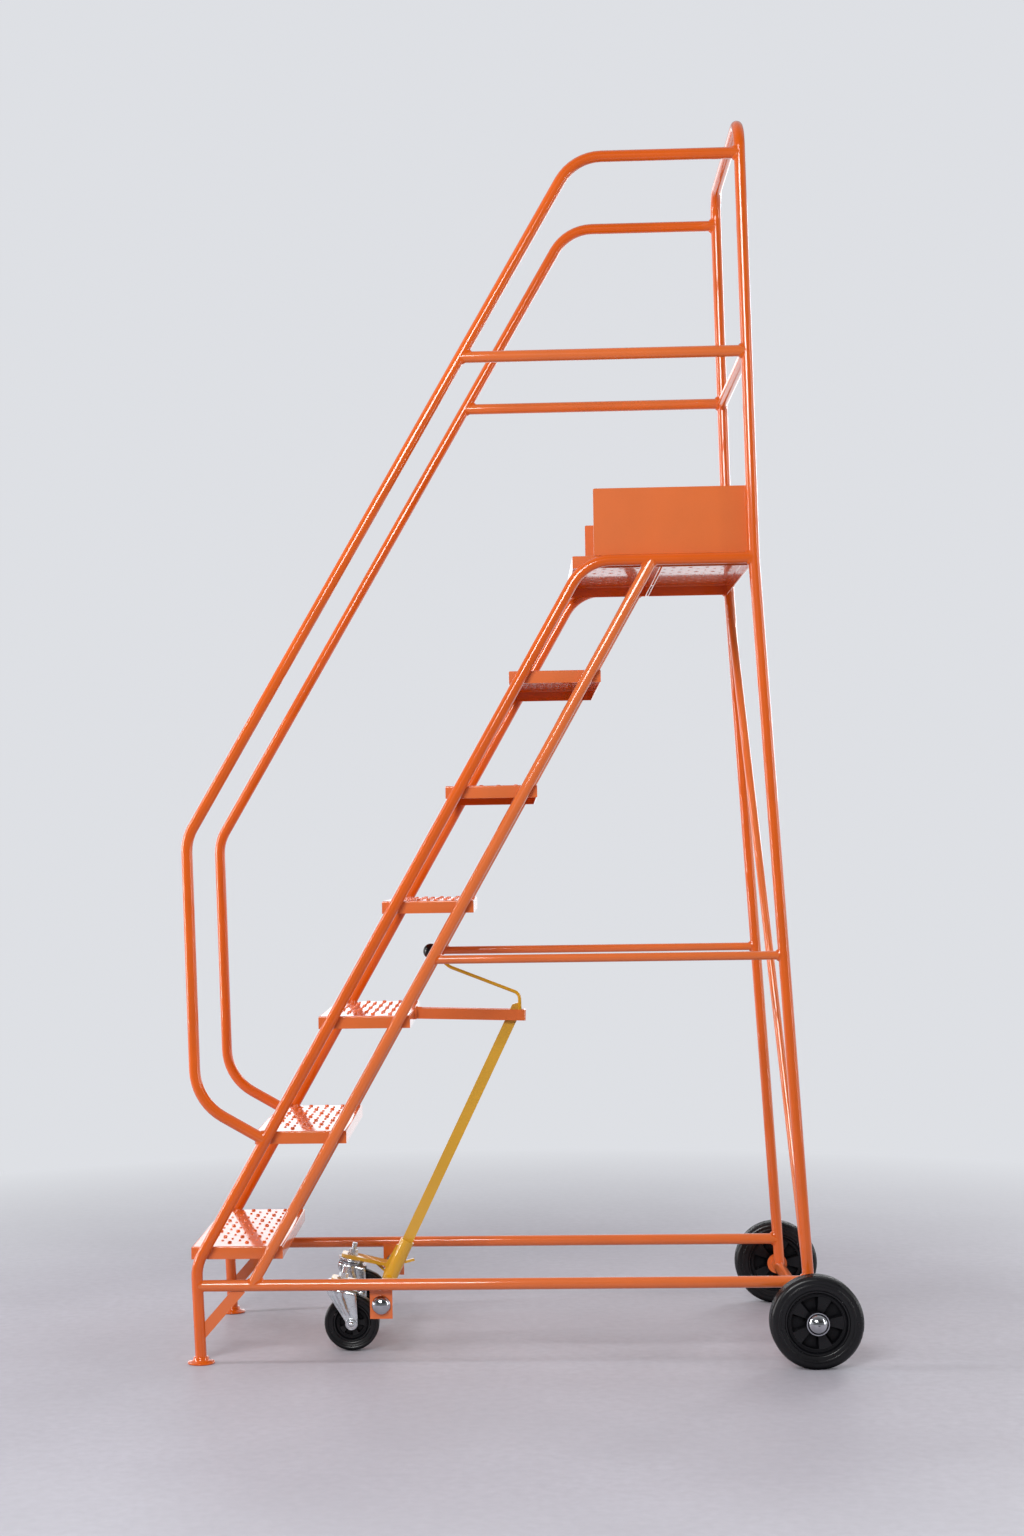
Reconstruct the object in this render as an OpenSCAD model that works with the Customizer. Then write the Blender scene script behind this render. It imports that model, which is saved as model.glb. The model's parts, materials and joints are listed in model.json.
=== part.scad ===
// Rolling warehouse ladder: welded tube frame on fixed rear wheels, six treads and a guarded
// platform, with a hand lever that lowers two front castors. Millimetres, +Z up, floor at z = 0.
// +X runs from the climbing side to the rear wheels; +Y is the climber's left.

/* [Overall] */
// Height of one rise (the platform is seven rises up)
rise = 254; // [250:1:258]
// Horizontal distance from one tread nosing to the next
run = 145.2; // [144:0.2:147]
// Distance between the centre planes of the two side frames
frame_w = 560; // [540:1:580]
// Height of the top guard rail's upper side above the deck
guard_h = 904; // [890:1:920]
// Height of the middle guard rail's centre above the deck
midrail_h = 448; // [430:1:460]
// Outside diameter of the main tubes
tube_d = 25.4; // [24:0.1:27]
// Outside diameter of the lighter tie and brace tubes
tie_d = 19; // [16:0.5:21]
// Wall of every tube
tube_wall = 2; // [1.5:0.1:2.5]

/* [Treads and platform] */
// Front to back depth of a tread
tread_depth = 204; // [200:1:206]
// Depth of the turned-down flanges
flange_h = 28; // [24:1:32]
// Sheet thickness of treads and platform panels
sheet_t = 2.5; // [2:0.5:3]
// Front to back depth of each of the two platform panels
panel_depth = 196; // [192:1:197]
// Diameter of the large raised holes
hole_d = 7; // [5:0.5:8]
// Diameter of the small raised holes
small_hole_d = 4; // [2:0.5:5]
// Height of the toe boards above the deck
toe_h = 150; // [120:1:160]

/* [Rear wheels] */
// Rear wheel diameter
wheel_d = 200; // [195:1:204]
// Rear tyre width
wheel_w = 50; // [46:1:52]
// Distance from the centre plane to each rear wheel's middle
wheel_y = 365; // [363:1:375]

/* [Lever and castors] */
// Lean of the raised lever behind the vertical
lever_lean = 26; // [25:0.5:27]
// Length of the lever bar from its pivot
lever_len = 720; // [700:5:725]
// Tilt of the castor arms with the lever raised
arm_tilt = 12.5; // [12:0.5:13]
// Castor wheel diameter
castor_d = 125; // [122:1:126]
// Distance from the swivel axis back to the castor wheel's axle
castor_trail = 40.4; // [38:0.2:42]
// Distance from the centre plane to each castor
castor_y = 157; // [150:1:160]

/* [Hidden] */
$fn = 64;
gap = 0.1;                    // weld gap left between coped parts
tube_r = tube_d / 2;
tie_r = tie_d / 2;
side_y = frame_w / 2;
inner_y = side_y - tube_r;    // inner faces of the side frames
deck_z = 7 * rise;

// Side frame lines, X measured from the foot pad's centre
slope = run / rise;
nose_x = -21.4;               // nosing of the first tread
nose_lead = 34.6;             // nosing ahead of the front stringer's centre
stringer_gap = 149.2;         // rear stringer behind the front one
leg_lean = 0.039;             // front leg, run per rise, foot to the rear
leg_foot = 3;                 // underside of the leg inside its pad
post_foot = [1344, 0, 100];
post_bend = [1250.5, 0, deck_z - tube_r];
top_z = deck_z + guard_h - tube_r;
midrail_z = deck_z + midrail_h;
post_lean = 0.0165;           // upper posts lean forward
hoop_z = top_z + 76;
bend_r = 100;
hoop_r = 62;
base_z = 170;
side_tie_z = 885;

function front_x(z) = nose_x + nose_lead + slope * (z - rise);
function rear_x(z) = front_x(z) + stringer_gap;
function leg_x(z) = -leg_lean * z;
function post_x(z) = z < post_bend.z
    ? post_foot.x + (post_bend.x - post_foot.x) * (z - post_foot.z) / (post_bend.z - post_foot.z)
    : post_bend.x - post_lean * (z - post_bend.z);
function at_front(z) = [front_x(z), 0, z];
function at_post(z) = [post_x(z), 0, z];
knee_z = (slope * rise - nose_x - nose_lead) / (slope + leg_lean);
front_corner = at_front(post_bend.z);

// Handrail: leaves the front stringer square on, rises, then follows the stairs
hand_start_z = 490;
stair_x = 358.8;              // incline's X at the middle of its length
stair_slope = 0.587;
hand_lean = -0.0232;
function hand_x(z) = -10.9 + hand_lean * (z - 800);
function stair_rail_x(z) = stair_x + stair_slope * (z - 1804.8);
hand_low_x = hand_x(579);
hand_low_z = hand_start_z + (front_x(hand_start_z) - hand_low_x) * slope;
hand_knee_z = (-10.9 - 800 * hand_lean - stair_x + 1804.8 * stair_slope)
    / (stair_slope - hand_lean);
HAND = [at_front(hand_start_z), [hand_low_x, 0, hand_low_z],
        [hand_x(hand_knee_z), 0, hand_knee_z],
        [stair_rail_x(top_z), 0, top_z], at_post(top_z)];
HAND_R = [125, 100, 108];
FRONT = [[leg_x(leg_foot), 0, leg_foot], [leg_x(knee_z), 0, knee_z], front_corner, post_bend];
FRONT_R = [bend_r, bend_r];
HOOP = [post_foot, post_bend, at_post(hoop_z)];

// Row origin: middle of the overall length, on the floor
wheel_z = wheel_d / 2;
knee_turn = (atan(stair_slope) - atan(hand_lean)) / 2;
front_tip = hand_x(hand_knee_z - HAND_R[1] * tan(knee_turn) * cos(atan(hand_lean)))
    + HAND_R[1] * (cos(atan(hand_lean)) - 1) - tube_r;
x_mid = (front_tip + post_foot.x + wheel_d / 2) / 2;

// Pivot, lever and castors
pivot = [400, 0, 122.5];
shaft_r = 12.5;
run_clear = 0.07;
sleeve_r = 17;
sleeve_half = 257;
washer_r = 20;
plate_w = 50;
plate_t = 5;
plate_z = [92, 168];
bar_w = 25.4;
bar_t = 8;
rod_r = 4;
knob_r = 18;
rod_y = -(bar_t / 2 + rod_r + gap);
guide_gap = 14;
guide_t = 5;
guide_tilt = 1.7;
guide_rear = 732;
arm_w = 50;
arm_t = 8;
arm_z = 10.5;                 // underside of the arms above the pivot, in the tilted frame
castor_x = -99;               // swivel axis from the pivot, in the tilted frame
castor_drop = 83.4;           // arm underside down to the castor's axle
head_r = 33;
head_h = 7;
crown_z = -11.8;
crown_t = 4;
fork_in = 22;
fork_t = 3.5;
king_r = 6;
bush_r = 7.5;
castor_r = castor_d / 2;
castor_w = 36;
axle_r = 10;
axle_tube_r = 14;
collar_y = 330.5;
collar_r = 24;
hub_half = 29;
cap_y = wheel_y + hub_half + 1;

ORANGE = [0.87, 0.44, 0.2];
YELLOW = [0.8, 0.6, 0.15];
ZINC = [0.75, 0.77, 0.8];
BLACK = [0.1, 0.1, 0.11];

// ---- helpers ----
function unit(v) = v / norm(v);
function turn_len(d1, d2, R) = R * tan(acos(d1 * d2) / 2);

module placed() translate([-x_mid, 0, 0]) children();
module both_sides() for (s = [-1, 1]) translate([0, s * side_y, 0]) children();

module rod(a, b, r) {
    v = b - a;
    translate(a) rotate([0, acos(v.z / norm(v)), atan2(v.y, v.x)]) cylinder(h = norm(v), r = r);
}

module bend(p, d1, d2, R, r) {
    th = acos(d1 * d2);
    c = p + unit(d2 - d1) * R / cos(th / 2);
    ex = unit(p - d1 * turn_len(d1, d2, R) - c);
    ez = cross(ex, d1);
    multmatrix([[ex.x, d1.x, ez.x, c.x], [ex.y, d1.y, ez.y, c.y], [ex.z, d1.z, ez.z, c.z],
                [0, 0, 0, 1]])
        rotate_extrude(angle = th) translate([R, 0]) circle(r);
}

// Solid following a bent centre line: R[i] is the bend radius at point i + 1. A collar 0.04 mm
// proud over each join keeps the straight and bent lengths one solid.
join_half = 0.8;
join_proud = 0.04;
module path(p, R, r, over = 0) {
    n = len(p);
    d = [for (i = [0:n - 2]) unit(p[i + 1] - p[i])];
    t = [for (i = [0:n - 1]) i == 0 || i == n - 1 ? -over : turn_len(d[i - 1], d[i], R[i - 1])];
    for (i = [0:n - 2]) rod(p[i] + d[i] * t[i], p[i + 1] - d[i] * t[i + 1], r);
    if (n > 2) for (i = [1:n - 2]) {
        bend(p[i], d[i - 1], d[i], R[i - 1], r);
        for (e = [[-t[i], d[i - 1]], [t[i], d[i]]])
            rod(p[i] + e[1] * (e[0] - join_half), p[i] + e[1] * (e[0] + join_half), r + join_proud);
    }
}

module tube(p, R, r, over = 0) difference() {
    path(p, R, r, over);
    path(p, R, r - tube_wall, over + 1);
}

// Envelopes that mating tubes are coped against
module cutter(a, b, past = 0) rod(a - unit(b - a) * past, b + unit(b - a) * past, tube_r + gap);
module leg_cut() {
    cutter(FRONT[0] - [0, 0, gap], FRONT[1] + [0, 0, 20]);
    cutter(FRONT[1] + unit(FRONT[2] - FRONT[1]) * 60, FRONT[2]);
}
module side_tube_cut() cutter(front_corner, post_bend);
module post_cut() for (i = [0, 1]) cutter(HOOP[i], HOOP[i + 1], 1);
module hand_cut() cutter(HAND[2], HAND[3]);
module base_cut() cutter([leg_x(base_z), 0, base_z], at_post(base_z));
module rear_cut() cutter([rear_x(base_z), 0, base_z], [rear_x(deck_z), 0, deck_z]);
module midrail_cut() cutter([stair_rail_x(midrail_z), 0, midrail_z], at_post(midrail_z));

// ---- side frames ----
module front_stringer() color(ORANGE) difference() {
    tube(FRONT, FRONT_R, tube_r);
    post_cut();
}

module rear_stringer() color(ORANGE) difference() {
    tube([[rear_x(base_z), 0, base_z], [rear_x(post_bend.z), 0, post_bend.z]], [], tube_r);
    base_cut();
    leg_cut();
    side_tube_cut();
}

module base_rail() color(ORANGE) difference() {
    tube([[leg_x(base_z), 0, base_z], at_post(base_z)], [], tube_r);
    leg_cut();
    post_cut();
}

module side_tie() color(ORANGE) difference() {
    tube([[rear_x(side_tie_z), 0, side_tie_z], at_post(side_tie_z)], [], tie_r);
    rear_cut();
    post_cut();
}

module handrail() color(ORANGE) difference() {
    tube(HAND, HAND_R, tube_r);
    leg_cut();
    post_cut();
}

module guard_midrail() color(ORANGE) difference() {
    tube([[stair_rail_x(midrail_z), 0, midrail_z], at_post(midrail_z)], [], tube_r);
    hand_cut();
    post_cut();
}

module left() placed() translate([0, side_y, 0]) children();
module right() placed() translate([0, -side_y, 0]) children();
module front_stringer_l() left() front_stringer();
module front_stringer_r() right() front_stringer();
module rear_stringer_l() left() rear_stringer();
module rear_stringer_r() right() rear_stringer();
module base_rail_l() left() base_rail();
module base_rail_r() right() base_rail();
module side_tie_l() left() side_tie();
module side_tie_r() right() side_tie();
module handrail_l() left() handrail();
module handrail_r() right() handrail();
module guard_midrail_l() left() guard_midrail();
module guard_midrail_r() right() guard_midrail();

// One tube up the left post, over the top and down the right post
module rear_hoop() placed() {
    side = [0, side_y, 0];
    color(ORANGE) difference() {
        tube([HOOP[0] + side, HOOP[1] + side, HOOP[2] + side,
              HOOP[2] - side, HOOP[1] - side, HOOP[0] - side],
             [900, hoop_r, hoop_r, 900], tube_r);
        translate(post_foot) rotate([90, 0, 0])
            cylinder(r = axle_tube_r + gap, h = frame_w + 2 * tube_d, center = true);
    }
}

module back_midrail() placed() color(ORANGE) difference() {
    mid = at_post(midrail_z);
    tube([mid - [0, side_y, 0], mid + [0, side_y, 0]], [], tube_r);
    both_sides() {
        post_cut();
        midrail_cut();
    }
}

// Single diagonal between the posts, from under the deck to the opposite foot
brace_z = [135, 1700];
module back_brace() placed() {
    hi = at_post(brace_z[1]) + [0, side_y, 0];
    lo = at_post(brace_z[0]) - [0, side_y, 0];
    color(ORANGE) difference() {
        tube([hi, lo], [], tie_r);
        both_sides() {
            post_cut();
            base_cut();
        }
        translate(post_foot) rotate([90, 0, 0])
            cylinder(r = axle_tube_r + gap, h = 3 * side_y, center = true);
    }
}

brace_strap_w = 25;
module foot_braces() placed() color(ORANGE) both_sides() difference() {
    low = [leg_x(60), 0, 60];
    v = [90, 0, base_z - tube_r / 2] - low;
    translate(low) rotate([0, -atan2(v.z, v.x), 0])
        translate([0, -plate_t / 2, -brace_strap_w / 2]) cube([norm(v), plate_t, brace_strap_w]);
    leg_cut();
    base_cut();
}

// Pressed round pad: a flat rim flaring up into a collar round the leg
pad_r = 30.5;
pad_h = 15;
module foot_pads() placed() color(ORANGE) both_sides() difference() {
    rotate_extrude() polygon([[0, 0], [pad_r - 1.5, 0], [pad_r, 1.5], [pad_r, 4], [pad_r - 2, 5.5],
        [pad_r - 8, 7], [tube_r + 5, 10.5], [tube_r + 3, pad_h], [0, pad_h]]);
    leg_cut();
}

// ---- treads and platform ----
// Grip pattern: columns of raised holes, one large between two small, alternate columns shifted
// by half a group
columns = 9;
column_x = 20.9;              // first column behind the front edge
column_step = 19.45;
group_y = 94;
group_step = 154;
small_offset = 50;
pattern_y = [-216, 250];
collar = [1, 0.8];            // collar wall round a large and a small hole
collar_h = [3.2, 1.9];

function punch_y(i, big) = [for (k = [-2:2], o = big ? [0] : [-small_offset, small_offset])
    let (y = group_y - (i % 2 == 0 ? group_step / 2 : 0) + group_step * k + o)
    if (y > pattern_y[0] && y < pattern_y[1]) y];
module punches(big) for (i = [0:columns - 1]) for (y = punch_y(i, big))
    translate([column_x + i * column_step, y, 0]) children();

module pan(x0, depth, z_top) {
    half = inner_y - 3 * gap;
    d = [hole_d, small_hole_d];
    color(ORANGE) translate([x0, 0, z_top - flange_h]) {
        translate([0, 0, flange_h - sheet_t]) difference() {
            union() {
                translate([0, -half, 0]) cube([depth, 2 * half, sheet_t]);
                for (k = [0, 1]) punches(k == 0)
                    cylinder(d = d[k] + 2 * collar[k], h = sheet_t + collar_h[k], $fn = 24);
            }
            for (k = [0, 1]) punches(k == 0)
                translate([0, 0, -1]) cylinder(d = d[k], h = sheet_t + collar_h[k] + 2, $fn = 24);
        }
        linear_extrude(flange_h - sheet_t) difference() {
            translate([0, -half]) square([depth, 2 * half]);
            translate([sheet_t, sheet_t - half]) square([depth - 2 * sheet_t, 2 * (half - sheet_t)]);
        }
    }
}

module tread(i) placed() pan(nose_x + run * (i - 1), tread_depth, rise * i);
module tread_1() tread(1);
module tread_2() tread(2);
module tread_3() tread(3);
module tread_4() tread(4);
module tread_5() tread(5);
module tread_6() tread(6);

deck_x = nose_x + 6 * run;
panel_gap = 4;
module platform_front_panel() placed() pan(deck_x, panel_depth, deck_z);
module platform_rear_panel() placed() pan(deck_x + panel_depth + panel_gap, panel_depth, deck_z);

toe_t = 3;
toe_front = 898;
toe_corner = 4;
toe_rear = deck_x + 2 * panel_depth + panel_gap;
module toe_board(s) placed() color(ORANGE)
    translate([toe_front, s * (inner_y - toe_t / 2 - 5 * gap), deck_z + gap]) rotate([90, 0, 0])
    linear_extrude(toe_t, center = true) difference() {
        square([toe_rear - toe_front - toe_t - 1, toe_h]);
        difference() {
            translate([-1, toe_h - toe_corner]) square([toe_corner + 1, toe_corner + 1]);
            translate([toe_corner, toe_h - toe_corner]) circle(toe_corner);
        }
    }
module toe_board_l() toe_board(1);
module toe_board_r() toe_board(-1);
module toe_board_rear() placed() color(ORANGE)
    translate([toe_rear - toe_t, -(inner_y - 1), deck_z + gap]) cube([toe_t, 2 * (inner_y - 1), toe_h]);

// ---- frame hardware ----
module along_y(p, r, y0, y1) translate([p.x, y1, p.z]) rotate([90, 0, 0]) cylinder(r = r, h = y1 - y0);

module pivot_plates() placed() color(ORANGE) for (s = [-1, 1]) difference() {
    translate([pivot.x - plate_w / 2, s * (inner_y - plate_t / 2 - gap) - plate_t / 2, plate_z[0]])
        cube([plate_w, plate_t, plate_z[1] - plate_z[0]]);
    along_y(pivot, shaft_r + run_clear, -side_y, side_y);
}

// Flat strip bent into a long loop, its two feet turned out against the third tread
guide_x = nose_x + 2 * run + tread_depth;
guide_z = 750.5;
guide_len = guide_rear - guide_x;
guide_foot = 26;
module loop_end(len, half, r) {
    translate([0, -half]) square([len - r, 2 * half]);
    translate([0, r - half]) square([len, 2 * (half - r)]);
    for (s = [-1, 1]) translate([len - r, s * (half - r)]) circle(r);
}
module lever_guide() placed() color(ORANGE) difference() {
    bend_in = guide_t - 2;
    over = 3;
    translate([guide_x - over, 0, guide_z]) rotate([0, guide_tilt, 0]) translate([0, 0, -bar_w / 2])
        linear_extrude(bar_w) {
            difference() {
                loop_end(guide_len + over, guide_gap + guide_t, bend_in + guide_t);
                translate([-1, 0]) loop_end(guide_len + over - guide_t + 1, guide_gap, bend_in);
            }
            for (s = [0, 1]) mirror([0, s]) translate([0, guide_gap])
                square([guide_t + over, guide_foot]);
        }
    translate([guide_x + gap - plate_w, -side_y, guide_z - plate_w]) cube([plate_w, 2 * side_y, 2 * plate_w]);
}

module axle_tube() placed() color(ORANGE) difference() {
    along_y(post_foot, axle_tube_r, -collar_y, collar_y);
    along_y(post_foot, axle_r + 0.5, -collar_y - 1, collar_y + 1);
}
module axle_collars() placed() color(ORANGE) for (s = [-1, 1]) difference() {
    along_y(post_foot, collar_r, s * (collar_y + 2.6) - 2.5, s * (collar_y + 2.6) + 2.5);
    along_y(post_foot, axle_r + 2 * gap, -wheel_y, wheel_y);
}
module rear_axle_shaft() placed() color(ZINC) along_y(post_foot, axle_r, -cap_y - 6, cap_y + 6);

// Chrome dome with a small rim, bored to sit on the end of a shaft
module dome_cap(base_r, high, bore, depth) color(ZINC) difference() {
    big = (base_r * base_r + high * high) / (2 * high);
    union() {
        intersection() {
            translate([0, 0, high - big]) sphere(big);
            cylinder(r = base_r, h = high + 1);
        }
        cylinder(r = base_r + 1.2, h = 1.6);
    }
    translate([0, 0, -1]) cylinder(r = bore, h = depth + 1);
}
module cap_pair(p, y, base_r, high, bore, depth) for (s = [-1, 1])
    translate([p.x, s * y, p.z]) rotate([-s * 90, 0, 0]) dome_cap(base_r, high, bore, depth);
module rear_axle_caps() placed() cap_pair(post_foot, cap_y, 23.3, 17, axle_r + gap, 6.2);
module pivot_shaft() placed() color(ZINC) along_y(pivot, shaft_r, -inner_y - 5, inner_y + 5);
module pivot_caps() placed() cap_pair(pivot, inner_y + gap, 20, 17, shaft_r + gap, 5.4);
module pivot_washers() placed() color(ZINC) for (s = [-1, 1]) difference() {
    along_y(pivot, washer_r, s * (sleeve_half + 2.5) - 1.5, s * (sleeve_half + 2.5) + 1.5);
    along_y(pivot, shaft_r + 3 * gap, -side_y, side_y);
}

// ---- lever ----
module on_pivot(lean) placed() translate(pivot) rotate([0, lean, 0]) children();
module sleeve_cut() rotate([90, 0, 0]) cylinder(r = sleeve_r + gap, h = 2 * side_y, center = true);
socket_len = 108;
socket_r = 16;
socket_bore = 13.5;

module pivot_sleeve() on_pivot(0) color(YELLOW) rotate([90, 0, 0]) difference() {
    cylinder(r = sleeve_r, h = 2 * sleeve_half, center = true);
    cylinder(r = shaft_r + run_clear, h = 2 * sleeve_half + 2, center = true);
}

// Flat bar with clipped top corners
module lever_bar() on_pivot(lever_lean) color(YELLOW) difference() {
    clip = 9;
    rotate([90, 0, 0]) linear_extrude(bar_t, center = true)
        polygon([[-bar_w / 2, 0], [bar_w / 2, 0], [bar_w / 2, lever_len - clip],
            [bar_w / 2 - clip, lever_len], [clip - bar_w / 2, lever_len],
            [-bar_w / 2, lever_len - clip]]);
    sleeve_cut();
}

// Tube foot round the bar, with a short prong behind
module lever_socket() on_pivot(lever_lean) color(YELLOW) difference() {
    union() {
        cylinder(r = socket_r, h = socket_len);
        translate([socket_r - 3, -3, 62]) rotate([0, 50, 0]) cube([6, 6, 24]);
    }
    cylinder(r = socket_bore, h = socket_len + 1);
    sleeve_cut();
}

module lever_gusset() on_pivot(0) color(YELLOW) difference() {
    rotate([90, 0, 0]) linear_extrude(6, center = true)
        polygon([[-14, 8], [-2, 48], [22, 88], [30, 88], [20, 8]]);
    sleeve_cut();
    rotate([0, lever_lean, 0]) cylinder(r = socket_r + gap, h = socket_len + 20);
}

function pv(x, z, y = 0) = [x - pivot.x, y, z - pivot.z];
ROD = [pv(718.8, 742, rod_y), pv(717.5, 793, rod_y), pv(556, 857, rod_y), pv(512, 894, rod_y)];
module handle_rod() on_pivot(0) color(YELLOW) path(
    [ROD[0], ROD[1], ROD[2], ROD[3] - unit(ROD[3] - ROD[2]) * 4], [18, 40], rod_r);
module handle_knob() on_pivot(0) color(BLACK) difference() {
    union() {
        translate(ROD[3]) sphere(knob_r);
        rod(ROD[3] - unit(ROD[3] - ROD[2]) * (knob_r + 3), ROD[3], 8);
    }
    rod(ROD[2], ROD[3] - unit(ROD[3] - ROD[2]) * 4, rod_r + gap / 2);
}

// ---- castors, in the frame tilted with the arms; z = 0 is the arms' underside ----
module on_castor(s) on_pivot(arm_tilt) translate([castor_x, s * castor_y, arm_z]) children();
module castor_pair() for (s = [-1, 1]) on_castor(s) children();
castor_axle = [castor_trail, 0, -castor_drop];

module castor_arms() color(YELLOW) for (s = [-1, 1]) on_pivot(arm_tilt)
    translate([0, s * castor_y, 0]) difference() {
        half = arm_w / 2;
        tip = castor_x - half;
        translate([0, 0, arm_z]) linear_extrude(arm_t) difference() {
            polygon([[0, -half], [0, half], [tip + 6, half], [tip, half - 6], [tip, 6 - half],
                [tip + 6, -half]]);
            translate([castor_x, 0]) circle(king_r + 0.4);
        }
        sleeve_cut();
    }

module arm_braces() color(YELLOW) for (s = [-1, 1]) on_pivot(arm_tilt)
    translate([-12, s * castor_y - 10, -8]) difference() {
        rotate([0, 30, 0]) translate([-45, 0, 0]) cube([45, 20, 4]);
        translate([-60, -1, 8 + arm_z - gap]) cube([80, 22, 40]);
        translate([12, 10, 8]) sleeve_cut();
    }

module castor_heads() color(ZINC) castor_pair() translate([0, 0, -gap]) mirror([0, 0, 1])
    difference() {
        rotate_extrude() polygon([[0, 0], [head_r - 4, 0], [head_r, 1.5], [head_r, head_h - 2],
            [head_r - 2, head_h], [0, head_h]]);
        translate([0, 0, -1]) cylinder(r = king_r + 0.3, h = head_h + 2);
    }

bolt_head_h = 6;
bolt_up = arm_t + 28;
module castor_bolts() color(ZINC) castor_pair() {
    low = crown_z - crown_t - 0.5;
    translate([0, 0, low]) cylinder(r = king_r, h = bolt_up - low);
    translate([0, 0, low - bolt_head_h]) cylinder(r = 10.5, h = bolt_head_h, $fn = 6);
}

module castor_nuts() color(ZINC) castor_pair() translate([0, 0, arm_t + gap]) difference() {
    union() {
        cylinder(r = 13, h = 2);
        translate([0, 0, 2]) cylinder(r = 10.5, h = 10, $fn = 6);
    }
    translate([0, 0, -1]) cylinder(r = king_r + 0.05, h = 14);
}

// Pressed fork: crown plate, raised race and two tapering legs
crown_x = [-29, 36];
race_r = 27;
leg_end_r = 14.5;
module fork() color(ZINC) difference() {
    union() {
        translate([crown_x[0], -fork_in - fork_t, crown_z - crown_t])
            cube([crown_x[1] - crown_x[0], 2 * (fork_in + fork_t), crown_t]);
        translate([0, 0, crown_z]) cylinder(r = race_r, h = -head_h - 0.6 - crown_z);
        for (s = [-1, 1]) translate([0, s * (fork_in + fork_t / 2), 0]) rotate([90, 0, 0])
            linear_extrude(fork_t, center = true) {
                polygon([[crown_x[0], crown_z], [crown_x[1], crown_z],
                    [castor_trail + leg_end_r - 0.1, -castor_drop],
                    [castor_trail - leg_end_r + 0.3, -castor_drop - 2],
                    [crown_x[0], crown_z - leg_end_r]]);
                translate([castor_trail, -castor_drop]) circle(leg_end_r);
            }
    }
    translate([0, 0, -30]) cylinder(r = king_r + run_clear, h = 40);
    translate(castor_axle) rotate([90, 0, 0]) cylinder(r = 5.1, h = 80, center = true);
}
module castor_fork_l() on_castor(1) fork();
module castor_fork_r() on_castor(-1) fork();

module castor_axle() color(ZINC) translate(castor_axle) rotate([90, 0, 0]) {
    cylinder(r = 5, h = 2 * (fork_in + fork_t) + 14, center = true);
    cylinder(r = bush_r, h = 2 * (fork_in - gap), center = true);
    for (m = [0, 1]) mirror([0, 0, m]) translate([0, 0, fork_in + fork_t + gap])
        cylinder(r = 8.5, h = 5.5, $fn = 6);
}
module castor_axle_l() on_castor(1) castor_axle();
module castor_axle_r() on_castor(-1) castor_axle();

// ---- wheels, axis along Y ----
module upright(p) translate(p) rotate([90, 0, 0]) children();

// Tyre: rounded shoulders, flat contact band, stepped side walls
module tyre(R, w, seat) {
    h = w / 2;
    side = [[seat, h - 4], [seat + 6, h - 1.5], [R - 22, h - 1.5], [R - 18, h], [R - 9, h - 1],
        [R - 3, h - 6], [R - 0.6, h - 13], [R, h - 17]];
    color(BLACK) rotate_extrude()
        polygon(concat([for (p = side) [p.x, -p.y]], [for (i = [7:-1:0]) side[i]]));
}

// Moulded centre: rim, web with five pockets in each face, hub and bore
module wheel_centre(seat, w, hub_r, hub_h, bore, pocket) color(BLACK) difference() {
    h = w / 2;
    rotate_extrude() polygon([[bore, -hub_h], [hub_r - 1.5, -hub_h], [hub_r, -hub_h + 1.5],
        [hub_r, -h + 7], [seat - 12, -h + 7], [seat - 9, -h + 3], [seat - gap, -h + 3],
        [seat - gap, h - 3], [seat - 9, h - 3], [seat - 12, h - 7], [hub_r, h - 7],
        [hub_r, hub_h - 1.5], [hub_r - 1.5, hub_h], [bore, hub_h]]);
    for (m = [0, 1]) mirror([0, 0, m]) translate([0, 0, h - 7 - pocket]) linear_extrude(pocket + 1)
        for (i = [0:4]) rotate(72 * i + 18) intersection() {
            difference() {
                circle(seat - 15);
                circle(hub_r + 4);
            }
            polygon([[0, 0], [seat, -seat * tan(19)], [seat, seat * tan(19)]]);
        }
}

rear_seat = 70;
module rear_wheel_at(s) placed() upright([post_foot.x, s * wheel_y, wheel_z]) children();
module rear_tyre_l() rear_wheel_at(1) tyre(wheel_d / 2, wheel_w, rear_seat);
module rear_tyre_r() rear_wheel_at(-1) tyre(wheel_d / 2, wheel_w, rear_seat);
module rear_centre() wheel_centre(rear_seat, wheel_w, 21, hub_half, axle_r + run_clear, 12);
module rear_centre_l() rear_wheel_at(1) rear_centre();
module rear_centre_r() rear_wheel_at(-1) rear_centre();

castor_seat = castor_r - 20;
module castor_tyre() upright(castor_axle) tyre(castor_r, castor_w, castor_seat);
module castor_centre() upright(castor_axle)
    wheel_centre(castor_seat, castor_w, 14, fork_in - 1.2, bush_r + run_clear, 5);
module castor_tyre_l() on_castor(1) castor_tyre();
module castor_tyre_r() on_castor(-1) castor_tyre();
module castor_centre_l() on_castor(1) castor_centre();
module castor_centre_r() on_castor(-1) castor_centre();

// ---- build ----
front_stringer_l();
front_stringer_r();
rear_stringer_l();
rear_stringer_r();
base_rail_l();
base_rail_r();
rear_hoop();
handrail_l();
handrail_r();
guard_midrail_l();
guard_midrail_r();
back_midrail();
side_tie_l();
side_tie_r();
back_brace();
foot_braces();
foot_pads();
toe_board_l();
toe_board_r();
toe_board_rear();
tread_1();
tread_2();
tread_3();
tread_4();
tread_5();
tread_6();
platform_front_panel();
platform_rear_panel();
pivot_plates();
lever_guide();
axle_tube();
axle_collars();
rear_axle_shaft();
rear_axle_caps();
pivot_shaft();
pivot_caps();
pivot_washers();
pivot_sleeve();
lever_bar();
lever_socket();
lever_gusset();
handle_rod();
handle_knob();
castor_arms();
arm_braces();
castor_heads();
castor_bolts();
castor_nuts();
castor_fork_l();
castor_fork_r();
castor_axle_l();
castor_axle_r();
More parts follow.
